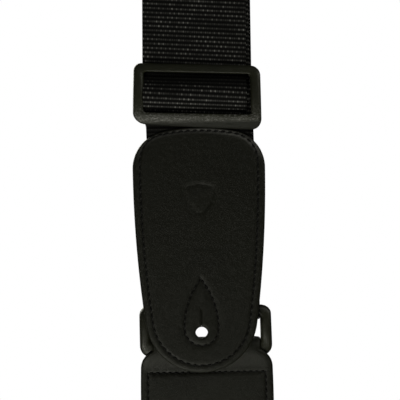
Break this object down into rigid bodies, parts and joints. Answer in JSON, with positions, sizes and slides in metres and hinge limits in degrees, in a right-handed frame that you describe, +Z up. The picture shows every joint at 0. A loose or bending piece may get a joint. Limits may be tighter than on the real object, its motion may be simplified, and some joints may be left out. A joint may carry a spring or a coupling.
{
  "type": "guitar strap",
  "caption": "Adjustable webbing guitar strap with stitched leather end tabs, a three-bar slider and a rectangular ring, hanging folded in half.",
  "frame": {"origin": "top of the inner face of the fold at the strap's middle, where a shoulder, peg or hook carries the strap", "axes": "+Z up along the hanging strap, -Y to the front half with the slider, +X across the webbing"},
  "size_m": [0.0665, 0.019, 0.552],
  "materials": {
    "webbing": "black ribbed synthetic webbing, woven across, dull with small bright flecks",
    "face_leather": "smooth black leather with a soft sheen and burnished edges",
    "lining_leather": "black split leather, dull and napped",
    "sewing_thread": "black bonded sewing thread",
    "moulded_plastic": "moulded black plastic, satin with polished high spots"
  },
  "bodies": {
    "back_half": {"webbing_shoulder_fold": "webbing", "webbing_back_top": "webbing", "webbing_back_outer": "webbing", "webbing_back_inner": "webbing"},
    "front_half": {"webbing_front_top": "webbing", "webbing_front_outer": "webbing", "webbing_front_inner": "webbing", "webbing_neck": "webbing", "webbing_tab_tongue": "webbing", "front_tab_face": "face_leather", "front_tab_filler": "lining_leather", "front_tab_backing": "lining_leather", "front_tab_edge_thread": "sewing_thread", "front_tab_buttonhole_thread": "sewing_thread"},
    "slider": {"slider_frame": "moulded_plastic", "webbing_slider_weave": "webbing", "webbing_end_loop": "webbing", "end_loop_thread": "sewing_thread"},
    "ring_turn": {"webbing_ring_turn": "webbing"},
    "ring_loop": {"ring": "moulded_plastic"},
    "rear_tab": {"rear_tab_face": "face_leather", "rear_tab_filler": "lining_leather", "rear_tab_backing": "lining_leather", "rear_tab_edge_thread": "sewing_thread", "rear_tab_cross_thread": "sewing_thread", "rear_tab_buttonhole_thread": "sewing_thread"}
  },
  "joints": [
    {"name": "shoulder_fold_open", "type": "hinge", "parent": "back_half", "child": "front_half", "pos_m": [0, 0, -0.00525], "axis": [-1, 0, 0], "range_deg": [0, 75], "deforming": ["webbing_shoulder_fold"]},
    {"name": "slider_slide", "type": "slide", "parent": "front_half", "child": "slider", "axis": [0, 0, 1], "range_m": [0, 0.15], "deforming": ["webbing_front_outer", "webbing_front_inner", "webbing_neck"]},
    {"name": "ring_slide", "type": "slide", "parent": "back_half", "child": "ring_turn", "axis": [0, 0, -1], "range_m": [0, 0.075], "deforming": ["webbing_back_outer", "webbing_back_inner"]},
    {"name": "ring_swing", "type": "hinge", "parent": "ring_turn", "child": "ring_loop", "pos_m": [0.0011, 0.0038, -0.4049], "axis": [1, 0, 0], "range_deg": [0, 80]},
    {"name": "rear_tab_swing", "type": "hinge", "parent": "ring_loop", "child": "rear_tab", "pos_m": [0.0011, 0.0038, -0.4231], "axis": [1, 0, 0], "range_deg": [0, 95]}
  ],
  "couplings": [
    {"joint": "ring_slide", "follows": "slider_slide", "ratio": 0.5}
  ]
}
